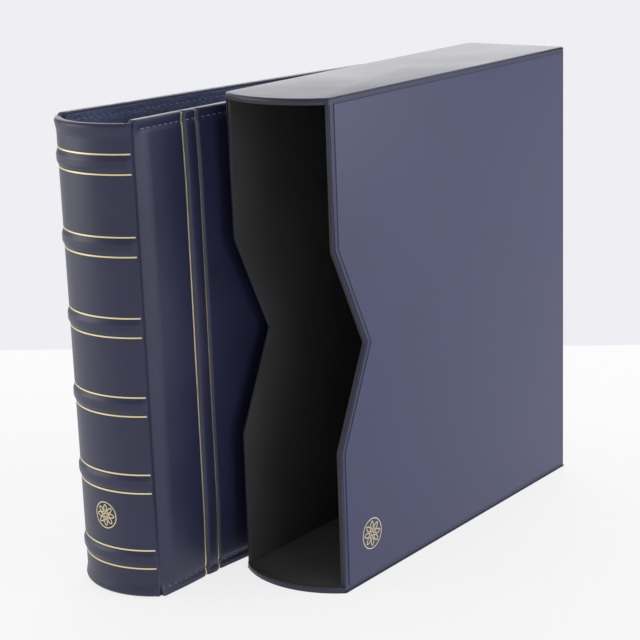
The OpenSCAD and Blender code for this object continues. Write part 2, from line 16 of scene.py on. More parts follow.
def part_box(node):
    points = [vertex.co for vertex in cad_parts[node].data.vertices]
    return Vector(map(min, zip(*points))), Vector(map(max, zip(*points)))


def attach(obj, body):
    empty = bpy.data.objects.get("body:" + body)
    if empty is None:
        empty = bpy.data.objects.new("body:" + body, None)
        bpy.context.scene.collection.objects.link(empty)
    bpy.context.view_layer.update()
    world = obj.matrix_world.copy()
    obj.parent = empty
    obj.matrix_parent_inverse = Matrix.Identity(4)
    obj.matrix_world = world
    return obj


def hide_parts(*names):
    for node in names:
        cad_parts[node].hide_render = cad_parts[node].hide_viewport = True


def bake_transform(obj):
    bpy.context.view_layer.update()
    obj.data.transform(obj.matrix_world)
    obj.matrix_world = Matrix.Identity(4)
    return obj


bl_info = {
    "name": "Stamp album and slipcase",
    "version": (1, 0, 0),
    "blender": (4, 5, 0),
    "location": "3D View > Sidebar > Stamp album",
    "description": "Builds the leather, foil, stitching and metal of a ring album in its slipcase",
    "category": "Object",
}

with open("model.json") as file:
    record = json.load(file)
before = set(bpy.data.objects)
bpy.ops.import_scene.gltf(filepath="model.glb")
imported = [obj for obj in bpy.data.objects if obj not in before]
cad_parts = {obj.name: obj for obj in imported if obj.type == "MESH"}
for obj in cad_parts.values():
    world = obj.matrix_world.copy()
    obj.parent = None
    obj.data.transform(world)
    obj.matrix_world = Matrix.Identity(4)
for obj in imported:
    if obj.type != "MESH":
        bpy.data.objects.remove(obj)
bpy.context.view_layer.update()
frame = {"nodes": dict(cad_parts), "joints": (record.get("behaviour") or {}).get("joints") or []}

MM = 0.001
IMAGE_PIXELS = 640
FILM_WIDTH = 36 * MM
JOINTS = {joint["name"]: joint for joint in frame["joints"]}
UP = Vector((0, 0, 1))

# The album's own frame: across from the back cover to the front, and deep to the fore-edge, from
# the middle of the chord between the spine's edges
FRONT_HINGE = Vector(JOINTS["front_hinge"]["pos_m"]).to_2d().to_3d()
BACK_HINGE = Vector(JOINTS["back_hinge"]["pos_m"]).to_2d().to_3d()
ACROSS = (FRONT_HINGE - BACK_HINGE).normalized()
DEEP = UP.cross(ACROSS)
HINGE_X = (FRONT_HINGE - BACK_HINGE).length / 2
HINGE_Y = 0.8 * MM
CHORD_MIDDLE = (FRONT_HINGE + BACK_HINGE) / 2 - DEEP * HINGE_Y

# Sizes that the part's source gives. A cover is measured from its hinge
ALBUM_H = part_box("front_leatherette")[1].z
COVER_LEAN = math.radians(2.7)
COVER_OUT = 0.8 * MM
COVER_T = 6.5 * MM
COVER_IN = COVER_OUT - COVER_T
COVER_FROM = 2.3 * MM
COVER_LENGTH = 286 * MM
COVER_TO = COVER_FROM + COVER_LENGTH
FURROW_IN = 46.2 * MM
FURROW_PITCH = 13 * MM
SECOND_FURROW = FURROW_IN + FURROW_PITCH
# The spine's arc starts a little in from the covers' outer faces
SPINE_IN = 2.8 * MM
SPINE_HALF = HINGE_X + COVER_OUT - SPINE_IN
SPINE_RISE = 13 * MM
SPINE_R = (SPINE_HALF**2 + SPINE_RISE**2) / (2 * SPINE_RISE)
SPINE_CENTRE = SPINE_R - SPINE_RISE
SPINE_ANGLE = math.asin(SPINE_HALF / SPINE_R)
SPINE_T = 4.1 * MM
# Its leather reaches past the arc, and ends below the covers' head and above their tail
LEATHER_T = 0.8 * MM
LEATHER_PAST = 1.2 * MM
SKIN_ANGLE = SPINE_ANGLE + LEATHER_PAST / SPINE_R
SKIN_HEAD = ALBUM_H - 1.6 * MM
SKIN_TAIL = 0.8 * MM
TURN_IN = 3.5 * MM
BAND_COUNT = 6
BAND_PITCH = 52.7 * MM
BAND_FIRST = (ALBUM_H - (BAND_COUNT - 1) * BAND_PITCH) / 2
CASE_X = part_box("case_right_sheet")[1].x
CASE_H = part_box("case_wrap")[1].z
CASE_WALL = 4 * MM

# Each cover's side and name
COVERS = ((1, "front"), (-1, "back"))
# Section of the leather in a groove: millimetres out and deep from the spine's edge
GROOVE_STEPS = (
    (0.2, 0.1), (0.96, 0.76), (0.9, 1.6), (0.7, 2.4), (0.5, 3.2), (0.3, 4.1), (-0.2, 5),
)
# The two of its points that are handed back with it, between which it passes from the spine to the
# cover
GROOVE_BLEND = (1, 5)
# Middles of the rosettes: round the spine from its middle and up, and deep and up the slipcase
SPINE_ROSETTE = (3 * MM, 55.5 * MM)
CASE_ROSETTE = (31 * MM, 32 * MM)
# Within this many seam insets of an edge a cover's mesh is close
SEAM_REACH = 1.6
# How far from a plane a face's middle may lie and still be on it
SLACK = 0.4 * MM
# A normal's least share along an axis where a face looks that way, and where it leans that way
FACING, LEANING = 0.9, 0.2
# Corners of a rigid piece that are sharper than this are rounded
CORNER = math.radians(35)
# The least distance between two rows of a mesh
CLOSEST = 0.02 * MM

# Rows of the render in which the floor meets the backdrop, at its left and its right
STAGE_LEFT, STAGE_RIGHT = 350, 345
# How far both papers reach, in metres
STAGE_REACH = 8
# Where the lamps aim, and each one's place, width, height and watts
LAMP_AIM = (-0.04, 0.02, 0.16)
LAMPS = {
    "key": ((-1.8, -1.2, 0.5), 1.6, 1.6, 20),
    "side": ((1.7, 0.9, 0.7), 1.4, 1.4, 17),
    "front": ((2.5, -0.45, 0.5), 1.4, 1.4, 10),
    "rear": ((-1.25, 1.9, 0.9), 3.0, 1.6, 32),
}


# ---- Colours and sizes that a user would change ----


def linear(hex_colour):
    """A colour written as sRGB hex, as the linear values that shaders read"""
    parts = [int(hex_colour[i : i + 2], 16) / 255 for i in (1, 3, 5)]
    return tuple(c / 12.92 if c <= 0.04045 else ((c + 0.055) / 1.055) ** 2.4 for c in parts)


def number(name, description, default, **options):
    return FloatProperty(name=name, description=description, default=default, **options)


def size(name, description, default):
    """A length whose default is given in millimetres"""
    return number(name, description, default * MM, unit="LENGTH")


def colour(name, description, hex_colour):
    return FloatVectorProperty(
        name=name, description=description, default=linear(hex_colour), subtype="COLOR",
        min=0, max=1,
    )


class CoverSizes(bpy.types.PropertyGroup):
    """The padded covers"""

    edge_radius: size("Edge radius", "Rounding of the padded edge at the free sides", 1.2)
    hinge_radius: size("Hinge edge radius", "Rounding of the padded edge at the hinge", 0.8)
    inner_radius: size("Inner radius", "Rounding of the edge round the inner face", 0.7)
    groove_depth: size("Groove depth", "Depth of the groove beside the spine", 2.8)
    groove_reach: size("Groove reach", "Width over which the padding rises from it", 13)
    groove_fade: size("Groove fade", "Height over which it deepens from head and tail", 12)
    puff: size("Puff", "Swelling of the padding within the sewing", 0.9)
    puff_reach: size("Puff reach", "Distance from the edge where the swelling is full", 50)
    corner_radius: size("Corner radius", "Rounding of a cover's corners", 3)
    crown: size("Crown", "Rise of the padding over the edge of the hinge strip", 1.3)
    seam_in: size("Seam inset", "Distance of the sewn valley from the edge", 6)
    seam_width: size("Seam width", "Half width of the sewn valley", 2.2)
    seam_depth: size("Seam depth", "Depth of the sewn valley", 0.7)
    furrow_width: size("Furrow width", "Half width of a pressed furrow", 1.5)
    furrow_depth: size("Furrow depth", "Depth of a pressed furrow", 1.0)
    lining_in: size("Lining inset", "Width of the leather that shows round a lining", 1.6)
    lining_rise: size("Lining rise", "How far a lining stands over the inner face", 0.4)
    lining_corner: size("Lining corner", "Rounding of a lining's corners", 2)
    leather: colour("Leather", "Colour of the covers and the spine", "#292b49")
    lining: colour("Lining", "Colour of the linings", "#4c5377")


class SpineSizes(bpy.types.PropertyGroup):
    """The rounded spine"""

    band_width: size("Band width", "Width of a raised band between its feet", 12)
    band_crest: size("Band crest", "Width of the full height of a raised band", 4)
    band_rise: size("Band rise", "Height of a raised band", 1.25)
    roll_height: size("Roll height", "Height of the roll at the head and the tail", 10)
    roll_rise: size("Roll rise", "How far the roll stands out", 1.1)
    rim_radius: size("Rim radius", "Rounding of the roll's rim", 2.4)
    turn_radius: size("Turned edge", "Rounding where the leather turns in", 1.4)


class FoilSizes(bpy.types.PropertyGroup):
    """The gold lines and the rosettes"""

    spine_line: size("Spine line width", "Width of a gold line on the spine", 0.95)
    cover_line: size("Cover line width", "Width of a gold line on a cover", 0.9)
    line_out: size("Line distance", "Distance of a line from its band's middle", 6.4)
    line_side: size("Line side", "Distance of a line's end from the groove", 0.7)
    foil_rise: size("Foil rise", "How far the foil stands over the leather", 0.06)
    rosette: size("Rosette", "Diameter of the rosette on the spine", 18)
    case_rosette: size("Slipcase rosette", "Diameter of the rosette on the slipcase", 21)
    rosette_line: size("Rosette line", "Width of the lines of a rosette", 0.55)
    petals: IntProperty(name="Petals", description="Petals of a rosette", default=8, min=5, max=12)
    gold: colour("Gold", "Colour of the foil", "#f2e3ae")


class StitchSizes(bpy.types.PropertyGroup):
    """The sewing of the covers"""

    pitch: size("Stitch pitch", "Distance from one stitch to the next", 5.2)
    length: size("Stitch length", "Length of the thread that shows in a stitch", 3.2)
    thread: size("Thread", "Thickness of the thread", 0.8)
    start: size("Start", "Distance of the first stitch from the hinge edge", 7)
    thread_colour: colour("Thread colour", "Colour of the sewing thread", "#737a92")


class CaseSizes(bpy.types.PropertyGroup):
    """The slipcase, and the colours of the paper, metal and film of both"""

    wrap_bevel: size("Covering edge", "Rounding of the covering's edges", 2.0)
    paper_in: size("Paper inset", "Covering that shows round the paper of the mouth", 2.1)
    paper_rise: size("Paper rise", "How far that paper stands over the covering", 0.15)
    sheet_bevel: size("Sheet edge", "Rounding of a side sheet's edges", 0.35)
    sheet_rise: size("Sheet rise", "How far a side sheet stands over the border", 0.35)
    # The side sheets and the covering round the edges are one paper: the sheets' colour is lighter
    # as painted light from the right, and the edges' colour is darker as painted shade
    covering: colour("Covering", "Colour of the side sheets", "#36395e")
    shaded_binding: colour("Shaded binding", "Colour of the covering round the edges", "#2c2e4c")
    paper: colour("Black paper", "Colour of the paper inside the slipcase", "#48484a")
    steel: colour("Nickel", "Colour of the ring mechanism", "#b9b7b2")
    card: colour("Leaf card", "Colour of the leaves", "#151518")
    board: colour("Greyboard", "Colour of the boards", "#8b867b")
    film: colour("Film", "Colour of the clear pockets", "#e6edf0")


class StageSizes(bpy.types.PropertyGroup):
    """The camera, the floor, the backdrop and the lights"""

    lens: size("Lens", "Focal length over a film 36 mm wide", 100.32)
    yaw: number("Yaw", "Turn of the camera to the left", 0.650324, subtype="ANGLE")
    pitch: number("Pitch", "Downward tilt of the camera", 0.260937, subtype="ANGLE")
    roll: number("Roll", "Roll of the camera", -0.035996, subtype="ANGLE")
    place: FloatVectorProperty(
        name="Camera place", description="Where the camera stands", subtype="TRANSLATION",
        unit="LENGTH", default=(694.31 * MM, -875.756 * MM, 479.11 * MM),
    )
    floor: colour("Floor", "Colour of the floor", "#ffffff")
    wall: colour("Backdrop", "Colour of the paper behind the floor", "#efeff4")
    floor_glow: number("Floor glow", "Share of the floor's own colour that shows everywhere",
                       0.8, min=0, max=1)
    room: number("Room light", "Light that comes from all round", 0.42, min=0)


# The name under which the scene holds each group
GROUPS = {
    "stamp_cover": CoverSizes,
    "stamp_spine": SpineSizes,
    "stamp_foil": FoilSizes,
    "stamp_stitch": StitchSizes,
    "stamp_case": CaseSizes,
    "stamp_stage": StageSizes,
}


# ---- Frames and curves ----


def album_point(x, y, z):
    """A place across, deep and up in the album's own frame"""
    return CHORD_MIDDLE + ACROSS * x + DEEP * y + UP * z


def cover_point(side, x, y, z):
    """A place outwards, deep and up from the hinge of the front (1) or back (-1) cover"""
    turn = Matrix.Rotation(side * COVER_LEAN, 3, "Z")
    origin = FRONT_HINGE if side > 0 else BACK_HINGE
    return origin + turn @ ACROSS * side * x + turn @ DEEP * y + UP * z


def smooth(value, low, high):
    """0 below low, 1 above high and an even curve between them"""
    t = min(max((value - low) / (high - low), 0), 1)
    return t * t * (3 - 2 * t)


def hump(distance, width):
    """1 at no distance, and a bell curve down to 0 some two widths away"""
    return math.exp(-((distance / width) ** 2))


def edge_drop(distance, radius):
    """How far a rounded edge has fallen at that distance in from the edge"""
    if distance >= radius:
        return 0
    return radius - math.sqrt(max(radius**2 - (radius - distance) ** 2, 0))


def stations(low, high, step, dense=()):
    """Places from low to high a step apart, and closer where dense gives (from, to, step)"""
    found = [low, high]
    for start, end, pitch in [(low, high, step), *dense]:
        start, end = max(start, low), min(end, high)
        count = max(1, math.ceil((end - start) / pitch))
        inside = [start + (end - start) * i / count for i in range(count + 1)]
        if (start, end) != (low, high):
            found = [p for p in found if not start < p < end]
        elif dense:
            inside = [p for p in inside if not any(a < p < b for a, b, _ in dense)]
        found += inside
    found.sort()
    kept = [found[0]]
    for place in found[1:]:
        if place - kept[-1] > CLOSEST:
            kept.append(place)
    kept[-1] = high
    return kept


# ---- Mesh tools ----


def in_scene(name, data):
    """A new object in the scene for a mesh, a lamp or a camera"""
    added = bpy.data.objects.new(name, data)
    bpy.context.scene.collection.objects.link(added)
    return added


def mesh_of(name, points, faces, edges=()):
    mesh = bpy.data.meshes.new(name)
    mesh.from_pydata(points, edges, faces)
    return mesh


def smooth_shaded(mesh, sharp=40):
    """Shades a mesh smooth but for its corners of more than that many degrees"""
    mesh.shade_smooth()
    mesh.set_sharp_from_angle(angle=math.radians(sharp))


def opened(mesh, merge=0.01 * MM):
    """A mesh to work on, with points closer than that merged"""
    work = bmesh.new()
    work.from_mesh(mesh)
    bmesh.ops.remove_doubles(work, verts=work.verts, dist=merge)
    return work


def closed(work, mesh):
    """An object for the mesh that the work is written back to"""
    work.to_mesh(mesh)
    work.free()
    smooth_shaded(mesh)
    return in_scene(mesh.name, mesh)


def outward(name, points, faces):
    """An object for a new mesh, with its faces turned outwards"""
    mesh = mesh_of(name, points, faces)
    work = opened(mesh, 0.001 * MM)
    bmesh.ops.recalc_face_normals(work, faces=work.faces)
    return closed(work, mesh)


def shell(name, columns, rows, outer, inner):
    """A closed skin: outer(u, v) and inner(u, v) give its two sides at each column and row"""
    wide, high = len(columns), len(rows)
    points = [side(u, v) for side in (outer, inner) for u in columns for v in rows]

    def at(layer, i, j):
        return (layer * wide + i) * high + j

    faces = []
    for i in range(wide - 1):
        for j in range(high - 1):
            ring = [(i, j), (i + 1, j), (i + 1, j + 1), (i, j + 1)]
            faces.append([at(0, *corner) for corner in ring])
            faces.append([at(1, *corner) for corner in ring[:1] + ring[:0:-1]])
    rim = [(i, 0) for i in range(wide)] + [(wide - 1, j) for j in range(1, high)]
    rim += [(i, high - 1) for i in range(wide - 2, -1, -1)]
    rim += [(0, j) for j in range(high - 2, 0, -1)]
    for a, b in zip(rim, rim[1:] + rim[:1]):
        faces.append((at(0, *b), at(0, *a), at(1, *a), at(1, *b)))
    return outward(name, points, faces)


def ribbons(name, paths, width, thick, surface):
    """Flat lines of that width along closed or open paths of (u, v), laid on surface(u, v, h)"""
    points, faces = [], []
    for path, closed in paths:
        count = len(path)
        start = len(points)
        for i, (u, v) in enumerate(path):
            before = path[i - 1] if closed or i else path[0]
            after = path[(i + 1) % count] if closed or i < count - 1 else path[-1]
            run = Vector((after[0] - before[0], after[1] - before[1])).normalized()
            side = Vector((-run.y, run.x)) * width / 2
            for s, h in ((1, thick), (-1, thick), (-1, -thick), (1, -thick)):
                points.append(surface(u + s * side.x, v + s * side.y, h))
        for i in range(count if closed else count - 1):
            a, b = start + 4 * i, start + 4 * ((i + 1) % count)
            for k in range(4):
                n = (k + 1) % 4
                faces.append((a + k, b + k, b + n, a + n))
        if not closed:
            faces.append(tuple(start + k for k in range(4)))
            faces.append(tuple(start + 4 * (count - 1) + k for k in (3, 2, 1, 0)))
    return outward(name, points, faces)


def from_middle(place):
    """Distance of a place up or down from the middle of the slipcase's height"""
    return abs(place.z - CASE_H / 2)


def under_mouth_paper(face):
    """Whether a face of the slipcase's covering lies under the paper at its mouth"""
    place = face.calc_center_median()
    off = abs(CASE_H / 2 - from_middle(place) - CASE_WALL)
    return place.y < 1 * MM and abs(face.normal.z) > FACING and off < 0.5 * MM


def softened(name, node_name, radius, is_face, is_hidden=lambda face: False):
    """A copy of a rigid piece: corners between faces that is_face picks are rounded, and faces
    that is_hidden picks are left out"""
    mesh = frame["nodes"][node_name].data.copy()
    mesh.name = name
    work = opened(mesh)
    bmesh.ops.dissolve_limit(
        work, angle_limit=math.radians(0.5), verts=work.verts, edges=work.edges
    )
    work.normal_update()
    picked = {face for face in work.faces if is_face(face.calc_center_median(), face.normal)}
    corners = [
        edge for edge in work.edges
        if len(edge.link_faces) == 2 and picked.issuperset(edge.link_faces)
        and edge.calc_face_angle(0) > CORNER
    ]
    bmesh.ops.bevel(work, geom=corners, offset=radius, segments=4, profile=0.5,
                    affect="EDGES", clamp_overlap=False)
    bmesh.ops.delete(work, geom=[face for face in work.faces if is_hidden(face)], context="FACES")
    return closed(work, mesh)


def edging(name, node_name, outline, thick):
    """Paper on the faces of the slipcase's node that look out of the mouth or turn in there"""
    work = opened(frame["nodes"][node_name].data)
    wall = CASE_WALL - SLACK

    def is_bare(face):
        place = face.calc_center_median()
        turned_in = abs(place.x) < CASE_X - wall and from_middle(place) < CASE_H / 2 - wall
        return face.normal.y > (LEANING if turned_in else -LEANING)

    bmesh.ops.delete(work, geom=[face for face in work.faces if is_bare(face)], context="FACES")
    work.normal_update()
    work.verts.index_update()
    count = len(work.verts)
    points = []
    for side in (1, -1):
        for vert in work.verts:
            point = vert.co + vert.normal * side * thick
            points.append([min(max(p, low), high) for p, low, high in zip(point, *outline)])
    faces = [[vert.index for vert in face.verts] for face in work.faces]
    faces += [[count + i for i in reversed(face)] for face in faces]
    for edge in work.edges:
        if edge.is_boundary:
            a, b = (vert.index for vert in edge.verts)
            faces.append([a, b, count + b, count + a])
    work.free()
    return outward(name, points, faces)


# ---- Materials ----


def node(tree, kind, inputs=(), links=(), **settings):
    """Adds a node: inputs are (socket, value), links are (socket, other node, its output)"""
    added = tree.nodes.new(kind)
    for name, value in settings.items():
        setattr(added, name, value)
    for socket, value in inputs:
        added.inputs[socket].default_value = value
    for socket, other, output in links:
        tree.links.new(other.outputs[output], added.inputs[socket])
    return added


def new_material(name):
    material = bpy.data.materials.new(name)
    material.use_nodes = True
    material.node_tree.nodes.clear()
    return material, material.node_tree


def close(tree, shader):
    node(tree, "ShaderNodeOutputMaterial", links=[("Surface", shader, 0)])


def rgba(value, scale=1.0):
    return (*(min(c * scale, 1) for c in value), 1)


def grained(name, tone, grain, depth, roughness, specular=0.5, mottle=0.12, crease=0.0,
            metallic=0.0):
    """A material with pebbles and creases of those sizes in millimetres, and a mottled tone"""
    material, tree = new_material(name)
    place = node(tree, "ShaderNodeTexCoord")
    # tone and gloss drift together, in patches some 55 mm wide
    broad = node(tree, "ShaderNodeTexNoise", [("Scale", 18), ("Detail", 4)],
                 [("Vector", place, "Object")])
    ramp = node(tree, "ShaderNodeValToRGB", links=[("Fac", broad, "Fac")])
    stops = ramp.color_ramp.elements
    stops[0].position, stops[0].color = 0.3, rgba(tone, 1 - mottle)
    stops[1].position, stops[1].color = 0.7, rgba(tone, 1 + mottle)
    pebble = node(tree, "ShaderNodeTexVoronoi", [("Scale", 1 / (grain * MM)), ("Randomness", 1)],
                  [("Vector", place, "Object")], feature="SMOOTH_F1")
    fine = node(tree, "ShaderNodeTexNoise", [("Scale", 2.5 / (grain * MM)), ("Detail", 3)],
                [("Vector", place, "Object")])
    relief = node(tree, "ShaderNodeMath", [(1, 0.35)],
                  [(0, fine, "Fac"), (2, pebble, "Distance")], operation="MULTIPLY_ADD")
    bump = node(tree, "ShaderNodeBump", [("Strength", 0.6), ("Distance", depth * MM)],
                [("Height", relief, 0)])
    if crease:
        # soft creases some 18 mm apart
        wave = node(tree, "ShaderNodeTexNoise", [("Scale", 55), ("Detail", 2)],
                    [("Vector", place, "Object")])
        bump = node(tree, "ShaderNodeBump", [("Strength", 0.5), ("Distance", crease * MM)],
                    [("Height", wave, "Fac"), ("Normal", bump, 0)])
    gloss = node(tree, "ShaderNodeMapRange",
                 [("To Min", roughness - 0.06), ("To Max", roughness + 0.06)],
                 [("Value", broad, "Fac")])
    close(tree, node(tree, "ShaderNodeBsdfPrincipled",
                     [("Specular IOR Level", specular), ("Metallic", metallic)],
                     [("Base Color", ramp, 0), ("Roughness", gloss, 0), ("Normal", bump, 0)]))
    return material


def make_materials():
    """Every finish of the album and the slipcase, by name"""
    scene = bpy.context.scene
    cover, foil, case = scene.stamp_cover, scene.stamp_foil, scene.stamp_case
    return {
        # Smooth bonded leather over foam: a soft satin glow and a grain that barely shows
        "leather": grained("Satin bonded leather", cover.leather, 0.9, 0.05, 0.42, crease=0.15),
        # Embossed lining leather: coarser pebbles that catch the light
        "lining": grained("Pebbled lining leather", cover.lining, 2.2, 0.7, 0.45, mottle=0.3),
        # Coated paper over board: even tone and a broad dull shine. On the side sheets its colour
        # is lighter than on the edges, as painted light from the right
        "covering": grained("Case paper with painted light", case.covering, 0.6, 0.03, 0.4, mottle=0.04),
        # The same paper, darkened towards the album's navy as painted shade, for the edges and the
        # base
        "shaded_binding": grained("Case paper with painted shade", case.shaded_binding, 0.6, 0.03, 0.4, mottle=0.04),
        # Black pasted paper: no shine, a trace of fibre
        "paper": grained("Black lining paper", case.paper, 0.5, 0.04, 0.8, specular=0.2),
        # Dyed card: matt, with a felt texture
        "card": grained("Black leaf card", case.card, 0.4, 0.04, 0.65, specular=0.3),
        # Pressed grey board: coarse fibre
        "board": grained("Greyboard", case.board, 1.0, 0.1, 0.9, mottle=0.2),
        # Waxed polyester sewing thread
        "thread": grained("Waxed sewing thread", scene.stamp_stitch.thread_colour, 0.3, 0.05, 0.5),
        # Hot-pressed gold foil: metal that picks up the leather's grain
        "gold": grained("Hot-pressed gold foil", foil.gold, 0.8, 0.04, 0.45, mottle=0.08,
                        metallic=0.8),
        # Nickel-plated spring steel: bright, with a faint drawn texture
        "nickel": grained("Nickel-plated steel", case.steel, 0.3, 0.01, 0.22, mottle=0.03,
                          metallic=1.0),
        "film": clear_film(case.film),
    }


def clear_film(tone):
    """Welded polyester film: clear, glossy and a little wavy"""
    material, tree = new_material("Clear polyester film")
    place = node(tree, "ShaderNodeTexCoord")
    ripple = node(tree, "ShaderNodeTexNoise", [("Scale", 25), ("Detail", 1)],
                  [("Vector", place, "Object")])
    bump = node(tree, "ShaderNodeBump", [("Strength", 0.4), ("Distance", 0.3 * MM)],
                [("Height", ripple, "Fac")])
    close(tree, node(
        tree, "ShaderNodeBsdfPrincipled",
        [("Base Color", rgba(tone)), ("Roughness", 0.08), ("IOR", 1.57), ("Alpha", 0.35)],
        [("Normal", bump, 0)],
    ))
    return material


MATERIALS = {}


def finish_of(name):
    """The material of that name, from a set that is made once"""
    if not MATERIALS:
        MATERIALS.update(make_materials())
    return MATERIALS[name]


def dress(piece, finish, body=None, replaces=()):
    """Gives a new piece its material and its body, and hides the nodes it stands for"""
    piece.data.materials.clear()
    piece.data.materials.append(finish_of(finish))
    if replaces:
        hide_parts(*replaces)
    if body:
        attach(piece, body)


def dress_node(name, finish):
    """Gives a rigid piece of the part its material"""
    for holder in frame["nodes"][name].material_slots:
        holder.material = finish_of(finish)


# ---- Geometry nodes ----


def node_group(name, **kinds):
    """A new geometry tree with inputs of those names and kinds, and the node that gives them"""
    tree = bpy.data.node_groups.new(name, "GeometryNodeTree")
    for label, kind in {"Geometry": "Geometry", **kinds, "Material": "Material"}.items():
        tree.interface.new_socket(label, in_out="INPUT", socket_type="NodeSocket" + kind)
    tree.interface.new_socket("Geometry", in_out="OUTPUT", socket_type="NodeSocketGeometry")
    return tree, node(tree, "NodeGroupInput")


def ended(tree, given, laid):
    """The tree, with what it lays made real and given its material"""
    real = node(tree, "GeometryNodeRealizeInstances", links=[("Geometry", laid, 0)])
    finish = node(tree, "GeometryNodeSetMaterial",
                  links=[("Geometry", real, 0), ("Material", given, "Material")])
    node(tree, "NodeGroupOutput", links=[("Geometry", finish, 0)])
    return tree


def run_group(piece, tree, values, sharp=40):
    """Runs a geometry tree on a piece and keeps what it makes as a plain mesh"""
    modifier = piece.modifiers.new(tree.name, "NODES")
    modifier.node_group = tree
    for item in tree.interface.items_tree:
        if item.item_type == "SOCKET" and item.in_out == "INPUT" and item.name in values:
            modifier[item.identifier] = values[item.name]
    evaluated = piece.evaluated_get(bpy.context.evaluated_depsgraph_get())
    mesh = bpy.data.meshes.new_from_object(evaluated)
    piece.modifiers.clear()
    given, piece.data = piece.data, mesh
    bpy.data.meshes.remove(given)
    mesh.name = piece.name
    smooth_shaded(mesh, sharp)


def stitch_tree():
    """Lays a stitch at every pitch along the edges it is given"""
    tree, given = node_group("Stitches", Pitch="Float", Length="Float", Thread="Float")
    path = node(tree, "GeometryNodeMeshToCurve", links=[("Mesh", given, "Geometry")])
    steps = node(tree, "GeometryNodeResampleCurve",
                 links=[("Curve", path, 0), ("Length", given, "Pitch")], mode="LENGTH")
    run = node(tree, "GeometryNodeInputTangent")
    turn = node(tree, "FunctionNodeAlignRotationToVector", links=[("Vector", run, 0)], axis="Z")
    ball = node(tree, "GeometryNodeMeshUVSphere",
                [("Segments", 8), ("Rings", 5), ("Radius", 0.5)])
    shape = node(tree, "ShaderNodeCombineXYZ",
                 links=[("X", given, "Thread"), ("Y", given, "Thread"), ("Z", given, "Length")])
    laid = node(tree, "GeometryNodeInstanceOnPoints",
                links=[("Points", steps, 0), ("Instance", ball, 0), ("Rotation", turn, 0),
                       ("Scale", shape, 0)])
    return ended(tree, given, laid)


def repeat_tree():
    """Repeats what it is given up the spine"""
    tree, given = node_group("Repeat up the spine", Count="Int", Pitch="Float")
    step = node(tree, "ShaderNodeCombineXYZ", links=[("Z", given, "Pitch")])
    line = node(tree, "GeometryNodeMeshLine",
                links=[("Count", given, "Count"), ("Offset", step, 0)])
    laid = node(tree, "GeometryNodeInstanceOnPoints",
                links=[("Points", line, 0), ("Instance", given, "Geometry")])
    return ended(tree, given, laid)


# ---- The covers ----


def cover_height(y, z):
    """How far the padded face lies in from the solid cover's outer face"""
    sizes = bpy.context.scene.stamp_cover
    ends = min(z, ALBUM_H - z)
    free = min(ends, COVER_TO - y)
    drop = max(edge_drop(free, sizes.edge_radius), edge_drop(y - COVER_FROM, sizes.hinge_radius))
    # out of the groove beside the spine the padding rises slowly, but not at the corners
    sunk = sizes.groove_depth * smooth(ends, 0, sizes.groove_fade)
    risen = min(max((y - COVER_FROM) / sizes.groove_reach, 0), 1)
    drop += sunk * (1 - risen) ** 2
    drop += sizes.seam_depth * hump(free - sizes.seam_in, sizes.seam_width) * smooth(
        y - COVER_FROM, 2 * MM, 8 * MM
    )
    drop -= sizes.puff * smooth(free, sizes.seam_in, sizes.puff_reach)
    for furrow in (FURROW_IN, SECOND_FURROW):
        drop += sizes.furrow_depth * hump(y - furrow, sizes.furrow_width)
    # the padding falls to the furrows, swells a little between them and rises again beyond
    flat, hollow, beyond = 0.4, 0.35, 40 * MM
    middle = COVER_FROM + flat * (FURROW_IN - COVER_FROM)
    if y < FURROW_IN:
        fall = (max(y - middle, 0) / (FURROW_IN - middle)) ** 2
    elif y < SECOND_FURROW:
        fall = hollow + (1 - hollow) * (2 * (y - FURROW_IN) / FURROW_PITCH - 1) ** 2
    else:
        fall = 1 - smooth(y, SECOND_FURROW, SECOND_FURROW + beyond)
    return drop + sizes.crown * fall


def cover_columns():
    """Places across a cover, close where its face curves: groove, furrows and fore-edge seam"""
    sizes = bpy.context.scene.stamp_cover
    near = SEAM_REACH * sizes.seam_in
    edge = COVER_FROM + 3 * MM
    return stations(
        COVER_FROM, COVER_TO, 4 * MM,
        [(COVER_FROM, edge, 0.3 * MM),
         (edge, COVER_FROM + sizes.groove_reach + 10 * MM, 0.8 * MM),
         (COVER_TO - near, COVER_TO, 0.4 * MM),
         (FURROW_IN - 6 * MM, SECOND_FURROW + 6 * MM, 0.6 * MM)],
    )


def close_at_ends(low, high, step, near, fine):
    """Places from low to high, with a finer step near both ends"""
    return stations(low, high, step, [(low, low + near, fine), (high - near, high, fine)])


def cover_rows():
    near = SEAM_REACH * bpy.context.scene.stamp_cover.seam_in
    return close_at_ends(0, ALBUM_H, 4 * MM, near, 0.4 * MM)


def rounded_point(side, across, y, z, low, high, radius):
    """A place on a cover's face, drawn in where the face's corners are rounded"""
    core = [min(max(p, a + radius), b - radius) for p, a, b in zip((y, z), low, high)]
    off = [p - c for p, c in zip((y, z), core)]
    if off[0] and off[1]:
        scale = max(abs(off[0]), abs(off[1])) / math.hypot(*off)
        off = [scale * v for v in off]
    return cover_point(side, across, core[0] + off[0], core[1] + off[1])


def padded_cover(name, side):
    """One cover: its padded face, its rounded edges and its flat inner face"""
    sizes = bpy.context.scene.stamp_cover
    outline = (COVER_FROM, 0), (COVER_TO, ALBUM_H), sizes.corner_radius

    def outer(y, z):
        return rounded_point(side, COVER_OUT - cover_height(y, z), y, z, *outline)

    def inner(y, z):
        edge = min(y - COVER_FROM, COVER_TO - y, z, ALBUM_H - z)
        across = COVER_IN + edge_drop(edge, sizes.inner_radius)
        return rounded_point(side, across, y, z, *outline)

    return shell(name, cover_columns(), cover_rows(), outer, inner)


